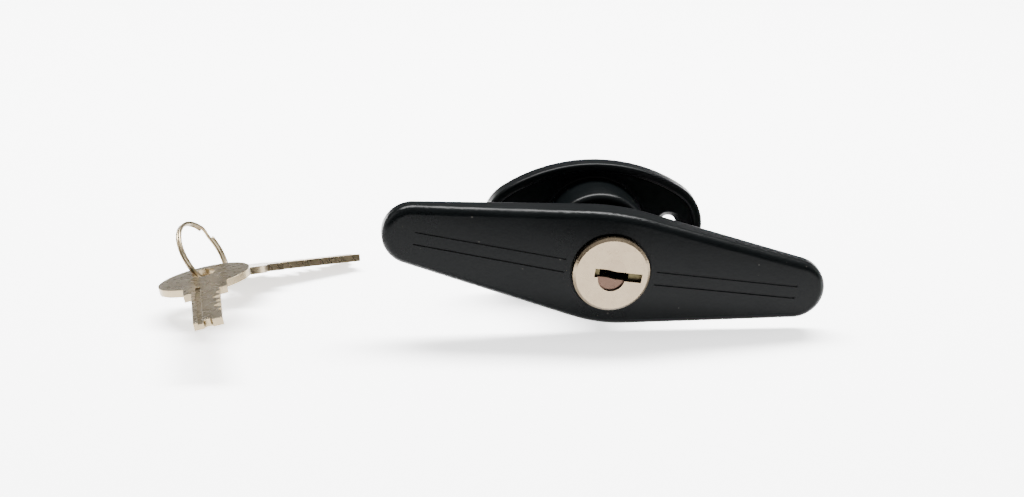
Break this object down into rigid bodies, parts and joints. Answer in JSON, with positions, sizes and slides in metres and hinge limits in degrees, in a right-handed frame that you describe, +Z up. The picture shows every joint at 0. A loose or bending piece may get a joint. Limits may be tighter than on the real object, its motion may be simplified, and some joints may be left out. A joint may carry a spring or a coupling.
{
  "type": "t-handle latch",
  "caption": "Locking T-handle latch: a swept bar on a shank that turns in an oval plate's collar, with a keyed plug, a sliding bolt, a square spindle and a key set.",
  "frame": {"origin": "middle of the plate's back face, on the shank's axis, halfway between the two screw holes", "axes": "+Y along the shank's axis into the door, +X along the plate through its screw holes, +Z up across the plate"},
  "size_m": [0.1777, 0.0834, 0.0382],
  "materials": {
    "black_coat": "satin",
    "nickel": "polished",
    "plug_brass": "satin",
    "wafer_brass": "satin",
    "zinc_steel": "satin",
    "spring_steel": "satin",
    "seal_rubber": "matte",
    "key_nickel": "polished"
  },
  "bodies": {
    "mounting": {"escutcheon": "black_coat"},
    "handle": {"t_handle": "black_coat", "shank_seal": "seal_rubber", "disc_spring": "spring_steel", "thrust_washer": "zinc_steel", "retaining_ring": "spring_steel", "spindle": "zinc_steel", "spindle_pin": "spring_steel"},
    "plug": {"face_cap": "nickel", "lock_plug": "plug_brass", "wafer_1": "wafer_brass", "wafer_2": "wafer_brass", "wafer_3": "wafer_brass", "wafer_4": "wafer_brass", "wafer_5": "wafer_brass", "wafer_spring_1": "spring_steel", "wafer_spring_2": "spring_steel", "wafer_spring_3": "spring_steel", "wafer_spring_4": "spring_steel", "wafer_spring_5": "spring_steel", "catch_wafer": "wafer_brass", "catch_spring": "spring_steel", "drive_pin": "zinc_steel"},
    "bolt": {"locking_bolt": "zinc_steel"},
    "keys": {"key_ring": "key_nickel", "key_a": "key_nickel", "key_b": "key_nickel"}
  },
  "joints": [
    {"name": "handle_turn", "type": "hinge", "parent": "mounting", "child": "handle", "pos_m": [0, 0, 0], "axis": [0, -1, 0], "range_deg": [-81.3, 8.7]},
    {"name": "plug_turn", "type": "hinge", "parent": "handle", "child": "plug", "pos_m": [0, 0, 0], "axis": [0, 1, 0], "range_deg": [0, 90]},
    {"name": "bolt_slide", "type": "slide", "parent": "handle", "child": "bolt", "axis": [-0.1513, 0, -0.9885], "range_m": [0, 0.0017]},
    {"name": "key_set_lift", "type": "slide", "parent": "mounting", "child": "keys", "axis": [0, 0, 1], "range_m": [0, 0.06]}
  ],
  "couplings": [
    {"joint": "plug_turn", "follows": "bolt_slide", "rad_per_m": 925.93}
  ]
}
